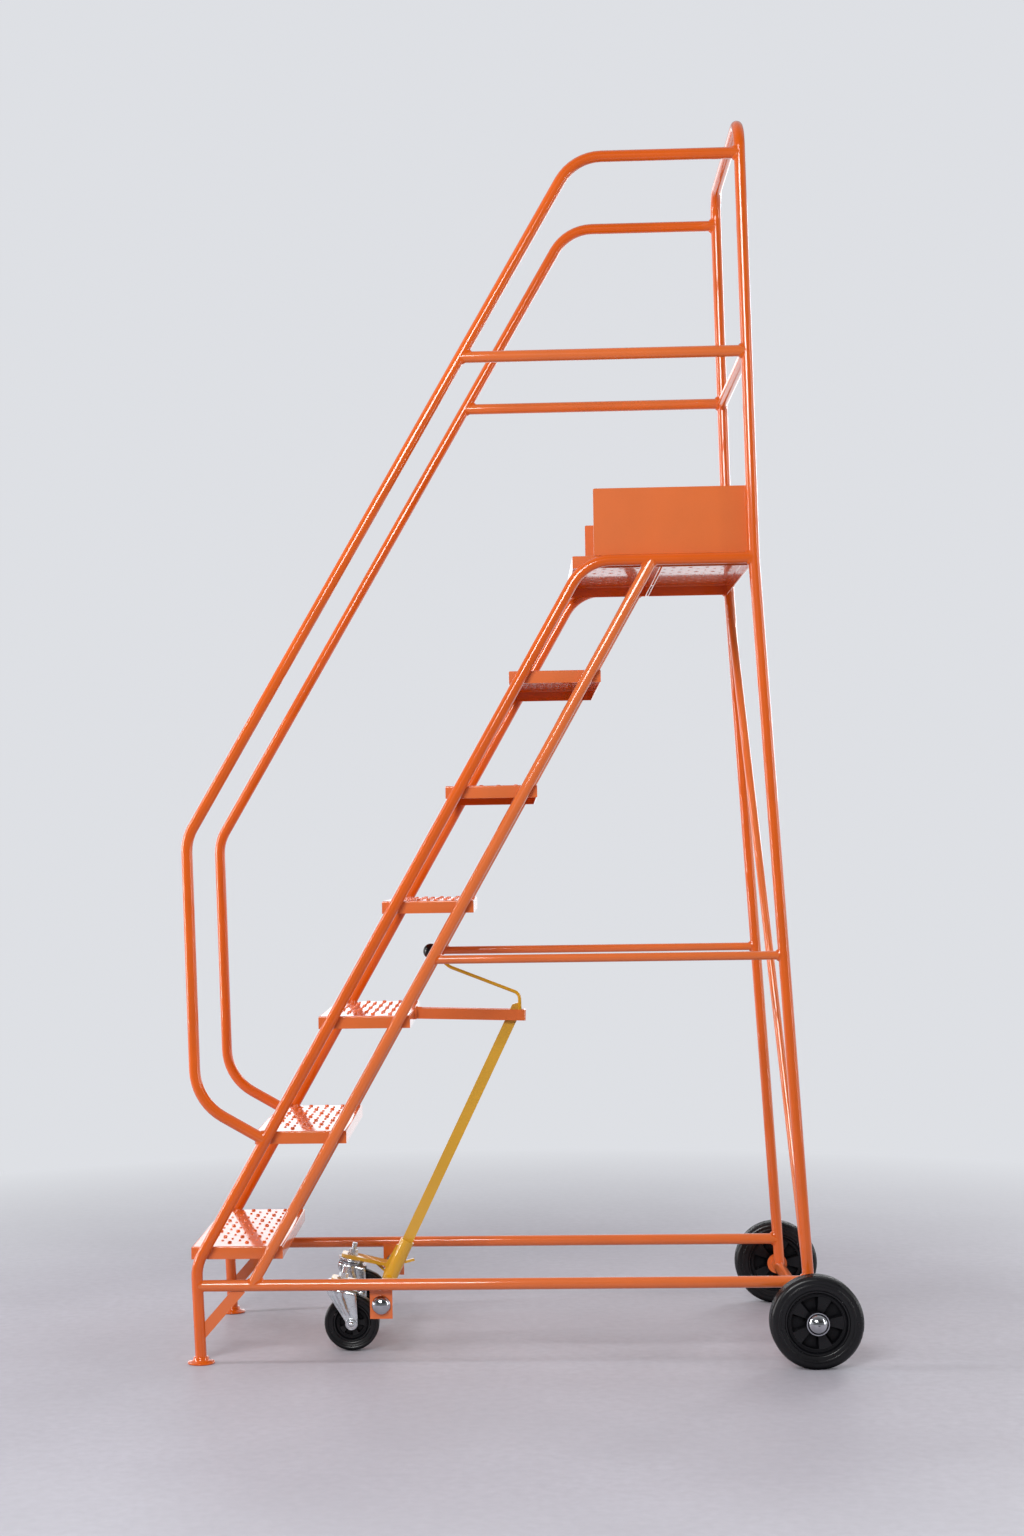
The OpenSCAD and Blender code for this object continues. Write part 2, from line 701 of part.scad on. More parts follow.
castor_tyre_l();
castor_tyre_r();
castor_centre_l();
castor_centre_r();
rear_tyre_l();
rear_tyre_r();
rear_centre_l();
rear_centre_r();
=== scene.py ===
import json
import math

import bmesh
import bpy
import numpy as np
from mathutils import Matrix, Vector
from mathutils.bvhtree import BVHTree
from mathutils.geometry import delaunay_2d_cdt


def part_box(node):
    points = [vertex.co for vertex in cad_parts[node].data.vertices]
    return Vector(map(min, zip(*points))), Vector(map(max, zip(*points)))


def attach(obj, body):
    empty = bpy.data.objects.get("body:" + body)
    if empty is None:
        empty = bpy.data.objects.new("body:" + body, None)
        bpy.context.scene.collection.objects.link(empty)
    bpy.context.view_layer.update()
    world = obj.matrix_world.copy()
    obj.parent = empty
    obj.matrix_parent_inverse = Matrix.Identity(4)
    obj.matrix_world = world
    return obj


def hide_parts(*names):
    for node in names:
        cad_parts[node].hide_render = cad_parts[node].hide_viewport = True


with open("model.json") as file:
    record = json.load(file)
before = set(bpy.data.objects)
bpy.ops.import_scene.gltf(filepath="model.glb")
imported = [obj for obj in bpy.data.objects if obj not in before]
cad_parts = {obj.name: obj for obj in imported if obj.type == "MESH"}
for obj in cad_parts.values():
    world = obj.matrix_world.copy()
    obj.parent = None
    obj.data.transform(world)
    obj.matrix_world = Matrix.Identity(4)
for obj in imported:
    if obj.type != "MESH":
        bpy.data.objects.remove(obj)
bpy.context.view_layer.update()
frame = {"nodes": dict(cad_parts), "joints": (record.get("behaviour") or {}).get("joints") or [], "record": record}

NODES = frame["nodes"]
JOINTS = {j["name"]: j for j in frame["joints"]}
SLOTS = {s["node"]: s["material_slot"] for s in frame["record"]["subparts"]}
RNG = np.random.default_rng(7)
MM = 0.001
MIX_A, MIX_B, MIX_RESULT = 6, 7, 2  # sockets of a colour Mix node

# ---------------------------------------------------------------- materials


class Mat:
    """A node material with a few shorthands; coordinates are the object's own, so they ride along."""

    def __init__(self, name, **base):
        self.mat = bpy.data.materials.new(name)
        self.mat.use_nodes = True
        self.tree = self.mat.node_tree
        self.bsdf = self.tree.nodes["Principled BSDF"]
        self.coord = self.tree.nodes.new("ShaderNodeTexCoord").outputs["Object"]
        for key, value in base.items():
            self.set(key.replace("_", " "), value)

    def set(self, socket, value):
        if hasattr(value, "is_linked"):
            self.tree.links.new(value, self.bsdf.inputs[socket])
        else:
            self.bsdf.inputs[socket].default_value = value

    def noise(self, scale, detail=3.0, rough=0.55, stretch=(1, 1, 1)):
        mapping = self.tree.nodes.new("ShaderNodeMapping")
        mapping.inputs["Scale"].default_value = stretch
        node = self.tree.nodes.new("ShaderNodeTexNoise")
        node.inputs["Scale"].default_value = scale
        node.inputs["Detail"].default_value = detail
        node.inputs["Roughness"].default_value = rough
        self.tree.links.new(self.coord, mapping.inputs["Vector"])
        self.tree.links.new(mapping.outputs["Vector"], node.inputs["Vector"])
        return node.outputs["Fac"]

    def cells(self, scale):
        """A random colour in each cell."""
        node = self.tree.nodes.new("ShaderNodeTexVoronoi")
        node.inputs["Scale"].default_value = scale
        self.tree.links.new(self.coord, node.inputs["Vector"])
        return node.outputs["Color"]

    def span(self, value, lo, hi, a=0.35, b=0.65):
        """The range from a to b of a value, stretched to run from lo to hi and clamped."""
        node = self.tree.nodes.new("ShaderNodeMapRange")
        for key, v in (("From Min", a), ("From Max", b), ("To Min", lo), ("To Max", hi)):
            node.inputs[key].default_value = v
        self.tree.links.new(value, node.inputs["Value"])
        return node.outputs["Result"]

    def mix(self, fac, a, b):
        node = self.tree.nodes.new("ShaderNodeMix")
        node.data_type = "RGBA"
        sockets = ((node.inputs["Factor"], fac), (node.inputs[MIX_A], a), (node.inputs[MIX_B], b))
        for socket, value in sockets:
            if hasattr(value, "is_linked"):
                self.tree.links.new(value, socket)
            else:
                socket.default_value = value if isinstance(value, float) else (*value[:3], 1.0)
        return node.outputs[MIX_RESULT]

    def bump(self, height, strength, distance):
        node = self.tree.nodes.new("ShaderNodeBump")
        node.inputs["Strength"].default_value = strength
        node.inputs["Distance"].default_value = distance
        self.tree.links.new(height, node.inputs["Height"])
        self.set("Normal", node.outputs["Normal"])
        return node.outputs["Normal"]

    def painted_recess_shade(self, reach):
        """0 deep in a recess, 1 in the open; used to paint shade into recesses."""
        node = self.tree.nodes.new("ShaderNodeAmbientOcclusion")
        node.samples = 8
        node.inputs["Distance"].default_value = reach
        return node.outputs["AO"]

    def edge_wear(self):
        """1 on convex edges, 0 elsewhere."""
        node = self.tree.nodes.new("ShaderNodeNewGeometry")
        return self.span(node.outputs["Pointiness"], 0.0, 1.0, 0.53, 0.62)


def paint(name, colour, worn):
    """Gloss powder coat: slight orange peel, tone drift, dust in the gloss, thin wear on edges."""
    m = Mat(name, Metallic=0.0, IOR=1.5)
    tone = m.span(m.noise(7, 4), 0.0, 1.0)
    body = m.mix(tone, tuple(c * 0.9 for c in colour), colour)
    body = m.mix(m.span(m.noise(520, 1), 0.0, 0.18, 0.63, 0.7), body, tuple(c * 0.6 for c in colour))
    m.set("Base Color", m.mix(m.span(m.edge_wear(), 0.0, 0.3, 0.2, 1.0), body, worn))
    m.set("Roughness", m.span(m.noise(30, 5), 0.3, 0.42))
    m.set("Specular IOR Level", 0.12)
    m.set("Coat Weight", 1.0)
    m.set("Coat IOR", 1.55)
    m.set("Coat Roughness", m.span(m.noise(12, 4), 0.03, 0.09))
    peel = m.bump(m.noise(300, 2), 0.035, 0.0006)
    m.tree.links.new(peel, m.bsdf.inputs["Coat Normal"])
    return m.mat


def metal(name, colour, rough, scratch, spangle=0.0):
    """Plated or drawn steel: fine lines in the gloss, and a warm drift from cell to cell on zinc."""
    m = Mat(name, Metallic=1.0)
    base = m.mix(m.span(m.noise(20, 4), 0.0, 1.0), tuple(c * 0.88 for c in colour), colour)
    if spangle:
        grey = m.tree.nodes.new("ShaderNodeRGBToBW")
        m.tree.links.new(m.cells(260), grey.inputs["Color"])
        warm = (colour[0] * 1.02, colour[1] * 0.97, colour[2] * 0.86)
        base = m.mix(m.span(grey.outputs["Val"], 0.0, spangle, 0.2, 0.8), base, warm)
    m.set("Base Color", base)
    lines = m.noise(90, 6, 0.7, (1, 14, 1))
    m.set("Roughness", m.span(lines, rough * 0.75, rough * 1.35))
    m.bump(lines, scratch, 0.0003)
    return m.mat


def moulded(name, colour, rough, grain_scale, grain, dust=0.0):
    """Black rubber or plastic: fine grain, a little dust, and painted shade deep in a recess, where the gloss is
    cut.
    """
    m = Mat(name, Metallic=0.0, IOR=1.48)
    tone = m.span(m.noise(24, 4), 0.0, 1.0)
    base = m.mix(tone, tuple(c * 0.7 for c in colour), colour)
    if dust:
        base = m.mix(m.span(m.noise(11, 6, 0.7), 0.0, dust, 0.5, 0.8), base, (0.16, 0.15, 0.14))
    m.set("Base Color", base)
    m.set("Roughness", m.span(m.noise(46, 5), rough * 0.85, rough * 1.15))
    # Painted shade: specular is cut deep in pockets and recesses so they read dark
    m.set("Specular IOR Level", m.span(m.painted_recess_shade(0.03), 0.0, 0.4, 0.25, 0.95))
    m.bump(m.noise(grain_scale, 3), grain, 0.0004)
    return m.mat


MATS = {
    "frame_paint": paint("orange_powder_coat", (0.74, 0.112, 0.003), (0.85, 0.28, 0.1)),
    "lever_paint": paint("yellow_powder_coat", (0.66, 0.335, 0.003), (0.8, 0.5, 0.1)),
    "zinc_plate": metal("bright_zinc", (0.72, 0.76, 0.79), 0.24, 0.02, 0.05),
    "bright_steel": metal("drawn_steel", (0.5, 0.5, 0.51), 0.28, 0.08),
    "chrome": metal("polished_chrome", (0.52, 0.53, 0.56), 0.1, 0.01),
    "tyre_rubber": moulded("black_rubber", (0.007, 0.007, 0.0085), 0.3, 900, 0.04, 0.02),
    "wheel_plastic": moulded("satin_black_moulding", (0.006, 0.006, 0.0075), 0.24, 1400, 0.03),
    "knob_plastic": moulded("gloss_black_moulding", (0.007, 0.007, 0.008), 0.16, 600, 0.02),
}

for n, node in NODES.items():
    if not node.material_slots:
        node.data.materials.append(MATS[SLOTS[n]])
    for material_slot in node.material_slots:
        material_slot.material = MATS[SLOTS[n]]

# ---------------------------------------------------------------- mesh helpers

SKEW = (0.31, 0.87, 0.39)  # a direction that no bar or tube runs along


def piece(name, shape, slot, body, replaces=(), smooth=40.0):
    """A mesh piece in the CAD frame, painted from its slot and riding on its body."""
    mesh = bpy.data.meshes.new(name)
    mesh.from_pydata([tuple(map(float, v)) for v in shape.v], [], [tuple(map(int, f)) for f in shape.f])
    mesh.validate()
    shell = bmesh.new()
    shell.from_mesh(mesh)
    bmesh.ops.remove_doubles(shell, verts=shell.verts, dist=0.001 * MM)
    bmesh.ops.recalc_face_normals(shell, faces=shell.faces)
    shell.to_mesh(mesh)
    shell.free()
    mesh.update()
    mesh.materials.append(MATS[slot])
    mesh.shade_smooth()
    mesh.set_sharp_from_angle(angle=math.radians(smooth))
    obj = bpy.data.objects.new(name, mesh)
    bpy.context.scene.collection.objects.link(obj)
    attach(obj, body)
    if replaces:
        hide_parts(*replaces)


class Shape:
    """Collects vertices and faces of several parts of one piece."""

    def __init__(self):
        self.v, self.f = [], []

    def add(self, verts, faces, flip=False):
        k = len(self.v)
        self.v.extend(np.asarray(verts, float).reshape(-1, 3))
        self.f.extend([tuple(i + k for i in (f[::-1] if flip else f)) for f in faces])
        return self

    def moved(self, matrix):
        m = np.array(matrix)
        self.v = [m[:3, :3] @ p + m[:3, 3] for p in self.v]
        return self

    def placed(self, origin=(0, 0, 0)):
        """From millimetres about an origin to metres in the CAD frame."""
        self.v = [(p + np.asarray(origin, float)) * MM for p in self.v]
        return self


def box_mm(name):
    """Lower and upper corner of a node's box, in millimetres."""
    return [np.array(corner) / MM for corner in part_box(name)]


def clamp(value):
    return min(1.0, max(0.0, value))


def circle(seg):
    return [(math.cos(2 * math.pi * j / seg), math.sin(2 * math.pi * j / seg)) for j in range(seg)]


def arc(cx, cy, r, a0, a1, n=6):
    return [(cx + r * math.cos(math.radians(a)), cy + r * math.sin(math.radians(a)))
            for a in np.linspace(a0, a1, n)]


def grid_faces(rows, cols, close_rows=False, close_cols=True):
    faces = []
    for i in range(rows if close_rows else rows - 1):
        for j in range(cols if close_cols else cols - 1):
            a, b = i * cols, ((i + 1) % rows) * cols
            k = (j + 1) % cols
            faces.append((a + j, a + k, b + k, b + j))
    return faces


def turned_y(profile, seg=96, closed=True):
    """Turned about Y: profile is (radius, y) pairs; closed joins the last to the first."""
    verts = [(r * c, y, r * s) for r, y in profile for c, s in circle(seg)]
    return verts, grid_faces(len(profile), seg, close_rows=closed)


def turned_z(profile, seg=64):
    """Turned about Z: profile is a closed loop of (radius, z) pairs."""
    verts = [(r * c, r * s, z) for r, z in profile for c, s in circle(seg)]
    return verts, [f[::-1] for f in grid_faces(len(profile), seg, close_rows=True)]


def sweep(points, radii, seg=12):
    """Round bar along points, with a radius at each, and flat ends."""
    p = np.asarray(points, float)
    tan = np.roll(p, -1, 0) - np.roll(p, 1, 0)
    tan[0], tan[-1] = p[1] - p[0], p[-1] - p[-2]
    tan /= np.linalg.norm(tan, axis=1)[:, None]
    ref = np.cross(tan[0], SKEW)
    verts = []
    for at, ahead, radius in zip(p, tan, radii):
        ref = ref - ahead * ref.dot(ahead)
        ref /= np.linalg.norm(ref)
        side = np.cross(ahead, ref)
        verts += [at + radius * (ref * c + side * s) for c, s in circle(seg)]
    last = (len(p) - 1) * seg
    ends = [tuple(range(seg))[::-1], tuple(range(last, last + seg))]
    return verts, grid_faces(len(p), seg) + ends


# ---------------------------------------------------------------- treads and deck

# Pressed holes as (radius, height) pairs: a flat ring in the top of the sheet, the collar's outside,
# its lip, the bore and a flat ring in the underside
LARGE = [(6.0, 0.0), (5.4, 0.0), (5.0, 0.35), (4.7, 1.2), (4.5, 2.6), (4.25, 3.1), (3.9, 3.2),
         (3.5, 2.8), (3.5, -0.6), (4.3, -1.7), (6.0, -2.5), (6.6, -2.5)]
SMALL = [(4.1, 0.0), (3.5, 0.0), (3.15, 0.25), (2.95, 0.8), (2.8, 1.5), (2.55, 1.85), (2.3, 1.9),
         (2.0, 1.5), (2.0, -0.8), (2.6, -1.9), (4.0, -2.5), (4.6, -2.5)]
COLUMNS = 9
COLUMN_PITCH = 19.45
FIRST_COLUMN = 20.9
HOLE_GROUP = 154.0  # from one large hole to the next along a column
HOLE_SPACING = 50.0  # from a large hole to the small ones beside it
HOLE_PHASE = 94.0  # of a large hole in the odd columns, from the middle of the pan
HOLE_RANGE = (-216.0, 250.0)
PAN_HIGH, PAN_SHEET, PAN_BORDER, PAN_BEND, PAN_LIP = 28.0, 2.5, 5.0, 3.2, 0.4
HOLE_SEG = 24


def punches(column):
    """Places along a column, each with whether it is a large hole; even columns are half a group on."""
    first = HOLE_PHASE - (HOLE_GROUP / 2 if column % 2 == 0 else 0)
    row = [(first + HOLE_GROUP * k + offset, offset == 0)
           for k in range(-2, 3) for offset in (-HOLE_SPACING, 0, HOLE_SPACING)]
    return sorted((y, large) for y, large in row if HOLE_RANGE[0] < y < HOLE_RANGE[1])


def plate(corners, holes, radii, z):
    """Flat sheet between the corners with a round opening of its own radius at every hole."""
    flat = list(corners)
    edges = [(0, 1), (1, 2), (2, 3), (3, 0)]
    for (cx, cy), r in zip(holes, radii):
        k = len(flat)
        flat += [(cx + r * c, cy + r * s) for c, s in circle(HOLE_SEG)]
        edges += [(k + j, k + (j + 1) % HOLE_SEG) for j in range(HOLE_SEG)]
    verts, _, faces, *_ = delaunay_2d_cdt([Vector(p) for p in flat], edges, [], 0, 1e-6)
    verts = np.array([tuple(p) for p in verts])
    middle = np.array([verts[list(f)].mean(0) for f in faces])
    gaps = np.linalg.norm(middle[:, None] - np.array(holes)[None], axis=2) - np.array(radii)
    keep = (gaps > -0.01).all(1)
    return [(x, y, z) for x, y in verts], [tuple(f) for f, k in zip(faces, keep) if k]


def rectangle(inset, depth, width):
    return [(inset, inset), (depth - inset, inset), (depth - inset, width - inset), (inset, width - inset)]


def pan(name):
    """Pressed pan with rounded turned-down flanges and a raised collar round every hole."""
    lo, hi = box_mm(name)
    depth, width = (hi - lo)[:2]
    section = [(PAN_BORDER, 0.0)] + arc(PAN_BEND, -PAN_BEND, PAN_BEND, 90, 180)
    section += [(0.0, PAN_LIP - PAN_HIGH), (PAN_LIP, -PAN_HIGH), (PAN_SHEET - PAN_LIP, -PAN_HIGH),
                (PAN_SHEET, PAN_LIP - PAN_HIGH), (PAN_SHEET, -PAN_BORDER), (PAN_BORDER, -PAN_SHEET)]
    shape = Shape()
    loops = [(x, y, z) for inset, z in section for x, y in rectangle(inset, depth, width)]
    shape.add(loops, grid_faces(len(section), 4))
    holes, profiles = [], []
    for column in range(COLUMNS):
        for y, large in punches(column):
            holes.append((FIRST_COLUMN + column * COLUMN_PITCH, width / 2 + y))
            profiles.append(LARGE if large else SMALL)
    corners = rectangle(PAN_BORDER, depth, width)
    for end, z in ((0, 0.0), (-1, -PAN_SHEET)):
        shape.add(*plate(corners, holes, [p[end][0] for p in profiles], z))
    for (cx, cy), rings in zip(holes, profiles):
        verts = [(cx + r * c, cy + r * s, z) for r, z in rings for c, s in circle(HOLE_SEG)]
        shape.add(verts, grid_faces(len(rings), HOLE_SEG))
    shape.placed((lo[0], lo[1], lo[2] + PAN_HIGH))
    piece(name + "_pressed", shape, "frame_paint", "frame", (name,), smooth=38)


PANELS = ["platform_front_panel", "platform_rear_panel"]
for n in ["tread_%d" % i for i in range(1, 7)] + PANELS:
    pan(n)

# ---------------------------------------------------------------- wheels

REAR_R, REAR_SEAT = 100.0, 70.0  # outside of the tyre, and where it sits on its centre
CASTOR_R, CASTOR_SEAT = 62.5, 42.5
TREAD_BANDS = 4
POCKETS, POCKET_HALF, POCKET_SLOPE = 5, 19.0, 1.6  # half a pocket and half its side slope, in degrees


def tyre(name, body, radius, seat, ribbed):
    """Solid rubber tyre: contact band, ribbed or plain, rounded shoulders, stepped side walls."""
    lo, hi = box_mm(name)
    h = (hi - lo)[1] / 2
    k = radius / 100
    lip = radius - 18.5 * k
    side = [(seat, h - 4), (seat + 0.8, h - 3.0), (seat + 3, h - 2.6), (lip - 3.2 * k, h - 2.5)]
    side += arc(lip - 1.2 * k, h - 1.9, 1.2 * k, 200, 90, 4)
    side += arc(lip + 1.2 * k, h - 1.5, 1.4 * k, 90, 20, 4)
    side += [(lip + 3.6 * k, h - 1.7), (radius - 12.5 * k, h - 1.0)]
    side += arc(radius - 11 * k, h - 11 * k, 10.4 * k, 82, 12, 9)
    band = [] if ribbed else [(radius - 0.2, h - 12), (radius, h - 15)]
    for i in range(TREAD_BANDS if ribbed else 0):
        y = (h - 9) * (1 - (i + 0.5) / TREAD_BANDS)
        band += [(radius, y + 2.1), (radius, y + 1.2), (radius - 2.2, y + 0.9),
                 (radius - 2.2, y - 0.9), (radius, y - 1.2)]
    profile = side + band
    profile += [(r, -y) for r, y in profile[::-1]]
    shape = Shape().add(*turned_y(profile, 128)).placed((lo + hi) / 2)
    piece(name + "_ribbed", shape, "tyre_rubber", body, (name,), smooth=50)


def pocket_share(angle):
    """1 in a wedge pocket and 0 on the spokes between, at an angle in degrees."""
    pitch = 360.0 / POCKETS
    off = abs(angle % pitch - pitch / 2)
    return 1.0 - clamp((off - POCKET_HALF + POCKET_SLOPE) / (2 * POCKET_SLOPE))


def wheel_centre(name, body, seat, hub_r, hub_h, bore, rim_h, pocket):
    """Moulded centre: stepped rim rings, web with five deep wedge pockets, collared hub."""
    lo, hi = box_mm(name)
    web = rim_h - 7
    inner, outer = hub_r + 3.5, seat - 14
    seg = 120
    hub = [(bore, hub_h - 1), (bore + 1, hub_h), (hub_r - 1.5, hub_h), (hub_r - 0.4, hub_h - 0.5),
           (hub_r, hub_h - 1.6), (hub_r + 0.6, web + 0.8), (hub_r + 1.6, web), (inner, web)]
    rim = [(outer, web), (outer + 1.2, web), (outer + 2.2, web + 1.0), (outer + 4.0, web + 1.4),
           (outer + 4.8, web + 0.6), (outer + 6.4, web + 0.6), (outer + 7.6, web + 3.2),
           (seat - 4.2, rim_h - 0.4), (seat - 3.0, rim_h), (seat - 1.2, rim_h), (seat - 0.4, rim_h - 0.8)]
    level = np.ones(seg)
    dipped = web - pocket * np.array([pocket_share(360.0 * j / seg) for j in range(seg)])
    dip_radii = sorted([*np.linspace(inner, outer, 9)[1:-1], inner + 1.3, outer - 1.3])
    rows = [(r, y * level) for r, y in hub] + [(r, dipped) for r in dip_radii]
    rows += [(r, y * level) for r, y in rim]
    shape = Shape()
    for sign in (1, -1):
        verts = [(r * c, sign * y, r * s) for r, ys in rows for (c, s), y in zip(circle(seg), ys)]
        shape.add(verts, grid_faces(len(rows), seg), flip=sign > 0)
    for (r, h), flip in ((hub[0], False), (rim[-1], True)):
        shape.add(*turned_y([(r, -h), (r, h)], seg, closed=False), flip=flip)
    shape.placed((lo + hi) / 2)
    piece(name + "_moulded", shape, "wheel_plastic", body, (name,), smooth=30)


for side in "lr":
    tyre("rear_tyre_" + side, "rear_wheel_" + side, REAR_R, REAR_SEAT, ribbed=True)
    tyre("castor_tyre_" + side, "castor_wheel_" + side, CASTOR_R, CASTOR_SEAT, ribbed=False)
    wheel_centre("rear_centre_" + side, "rear_wheel_" + side, REAR_SEAT,
                 hub_r=21, hub_h=29, bore=10.3, rim_h=22, pocket=13)
    wheel_centre("castor_centre_" + side, "castor_wheel_" + side, CASTOR_SEAT,
                 hub_r=14, hub_h=20.8, bore=7.7, rim_h=15, pocket=6)

# ---------------------------------------------------------------- castor forks and swivel heads

# Millimetres from the swivel's origin under the arm: X towards the trailing axle, Z up the swivel axis
DROP, TRAIL = 83.4, 40.4
FORK_Y, FORK_SHEET, FORK_BEND, FORK_COLS = 23.75, 3.5, 7.0, 25
CROWN_TOP, CROWN_X, SHOULDER = -11.8, (-29.0, 36.0), 14.5
LEG_END_R = 14.4
RACE = [(6.1, -13), (26.5, -13), (29.5, -11.8), (30, -10.6), (28.6, -9.6), (27.2, -9.2), (26.6, -8.2),
        (24, -7.7), (6.1, -7.7)]
HEAD = [(6.3, -0.1), (29, -0.1), (32.4, -0.5), (33, -1.6), (32.8, -3.0), (31.2, -3.6), (30.4, -5.0),
        (30.8, -6.4), (30.2, -7.2), (28.6, -7.1), (28, -6.2), (6.3, -6.2)]
AXLE_WASHER = [(5.2, 25.6), (11.6, 25.6), (12, 26), (11.8, 26.6), (11.2, 26.9), (5.2, 26.9)]
AXLE_DOME = [(0.1, 30.6), (6.2, 30.6), (6.2, 31.4)] + arc(0, 30.4, 6.2, 12, 89, 7)


def castor_frame(side):
    """Matrix of the swivel: origin under the arm on the swivel axis, Z along it, in metres."""
    z = Vector(JOINTS["castor_swivel_" + side]["axis"]).normalized()
    y = Vector((0, 1, 0))
    x = y.cross(z).normalized()
    turn = Matrix((x, y, z)).transposed()
    axle = Vector(JOINTS["castor_spin_" + side]["pos_m"])
    return Matrix.Translation(axle - turn @ Vector((TRAIL, 0, -DROP)) * MM) @ turn.to_4x4()


def fork_leg_span(z):
    """Left and right edge of a leg at height z, with a round end below the axle."""
    if z < -DROP:
        reach = math.sqrt(max(0.0, LEG_END_R ** 2 - (z + DROP) ** 2))
        return TRAIL - reach, TRAIL + reach
    left_share = clamp((CROWN_TOP - SHOULDER - z) / (DROP + CROWN_TOP - SHOULDER))
    right_share = clamp((CROWN_TOP - z) / (DROP + CROWN_TOP))
    left = CROWN_X[0] + (TRAIL - LEG_END_R + 0.2 - CROWN_X[0]) * left_share
    right = CROWN_X[1] + (TRAIL + LEG_END_R - CROWN_X[1]) * right_share
    return left, right


def fork_stations():
    """Middle line of the fork's sheet across the wheel, as (y, z, normal)."""
    mid_z = CROWN_TOP - FORK_SHEET / 2
    quarter = np.linspace(0, math.pi / 2, 8)
    leg = [*(-DROP - (LEG_END_R - 0.1) * np.cos(quarter)), *np.linspace(-DROP + 4, mid_z - FORK_BEND, 16)]
    half = [(-FORK_Y, z, (0, -1, 0)) for z in leg]
    half += [(-FORK_Y + FORK_BEND * (1 - math.cos(a)), mid_z - FORK_BEND + FORK_BEND * math.sin(a),
              (0, -math.cos(a), math.sin(a))) for a in quarter[1:]]
    half += [(y, mid_z, (0, 0, 1)) for y in np.linspace(-FORK_Y + FORK_BEND, 0, 5)[1:]]
    return half + [(-y, z, (0, -n[1], n[2])) for y, z, n in half[-2::-1]]


def fork(side):
    """One pressed sheet: leg, shoulder, crown, shoulder, leg, with a swage down each leg."""
    stations = fork_stations()
    outer, inner = [], []
    for y, z, n in stations:
        left, right = fork_leg_span(min(z, CROWN_TOP - 1))
        leg = abs(n[1])
        swage = 3.2 * leg * clamp((z + DROP - 13) / 12) if leg > 0.3 else 0.0
        for u in np.linspace(0, 1, FORK_COLS):
            ridge = math.exp(-((u - 0.42) / 0.13) ** 4) - 0.35 * math.exp(-((u - 0.42) / 0.3) ** 4)
            rolled = -1.6 * (max(0.0, (abs(u - 0.5) - 0.42) / 0.08) ** 2)
            lift = swage * ridge + rolled * leg
            for row, offset in ((outer, FORK_SHEET / 2), (inner, -FORK_SHEET / 2)):
                h = offset + lift
                row.append((left + (right - left) * u, y + n[1] * h, z + n[2] * h))
    rows, cols = len(stations), FORK_COLS
    faces = grid_faces(rows, cols, close_cols=False)
    shape = Shape().add(outer, faces, flip=True).add(inner, faces)
    rim = ([(i, 0) for i in range(rows)] + [(rows - 1, k) for k in range(1, cols)] +
           [(i, cols - 1) for i in range(rows - 2, -1, -1)] + [(0, k) for k in range(cols - 2, 0, -1)])
    loop = [i * cols + k for i, k in rim]
    under = rows * cols
    shape.f += [(a, b, b + under, a + under) for a, b in zip(loop, loop[1:] + loop[:1])]
    shape.add(*turned_z(RACE)).placed().moved(castor_frame(side))
    name = "castor_fork_" + side
    piece(name + "_pressed", shape, "zinc_plate", name, (name,), smooth=50)


def castor_heads():
    """Rolled upper race under each castor arm."""
    shape = Shape()
    for side in "lr":
        one = Shape().add(*turned_z(HEAD)).placed().moved(castor_frame(side))
        shape.add(one.v, one.f)
    piece("castor_heads_rolled", shape, "zinc_plate", "lever", ("castor_heads",), smooth=45)


def axle_ends(side):
    """Washer under each nut of a castor's axle, and the domed end of the bolt beyond it."""
    shape = Shape()
    for profile in (AXLE_WASHER, AXLE_DOME):
        for sign in (1, -1):
            verts, faces = turned_y([(r, sign * y) for r, y in profile], 48)
            shape.add([(x + TRAIL, y, z - DROP) for x, y, z in verts], faces, flip=sign > 0)
    shape.placed().moved(castor_frame(side))
    piece("castor_axle_%s_ends" % side, shape, "zinc_plate", "castor_fork_" + side, smooth=40)


def pivot_caps():
    """Full round caps over the ends of the pivot shaft."""
    lo, hi = box_mm("pivot_caps")
    mid, radius, high, gap, wall = (lo + hi) / 2, (hi - lo)[0] / 2, 17.0, 0.2, 1.2
    dome = [(0.1, gap), (radius - 0.5, gap), (radius, gap + 0.5)]
    dome += [(radius * math.cos(t), wall + (high - wall) * math.sin(t)) for t in np.linspace(0.06, 1.55, 14)]
    shape = Shape()
    for sign, base in ((1, hi[1] - high), (-1, -lo[1] - high)):
        verts, faces = turned_y([(r, sign * (base + y)) for r, y in dome], 64)
        shape.add([(x + mid[0], y, z + mid[2]) for x, y, z in verts], faces, flip=sign > 0)
    piece("pivot_caps_domed", shape.placed(), SLOTS["pivot_caps"], "frame", ("pivot_caps",), smooth=50)


def foot_pads():
    """Round pads spun up into a collar round each leg."""
    lo, hi = box_mm("foot_pads")
    radius = (hi - lo)[0] / 2
    rim = [(0.5, 3), (0.5, 0), (radius - 2, 0), (radius - 0.5, 0.6), (radius, 1.8), (radius - 0.2, 3.2),
           (radius - 1.3, 4.4), (radius - 3.5, 4.9), (22, 5.6), (19.2, 7.2), (17.8, 10), (17.2, 13.2),
           (16.6, 14.5), (15.6, 15), (12.9, 15), (12.9, 3)]
    shape = Shape()
    for y in (lo[1] + radius, hi[1] - radius):
        verts, faces = turned_z(rim, 96)
        shape.add([(p[0] + lo[0] + radius, p[1] + y, p[2]) for p in verts], faces)
    piece("foot_pads_spun", shape.placed(), "frame_paint", "frame", ("foot_pads",), smooth=50)


for side in "lr":
    fork(side)
    axle_ends(side)
castor_heads()
pivot_caps()
foot_pads()

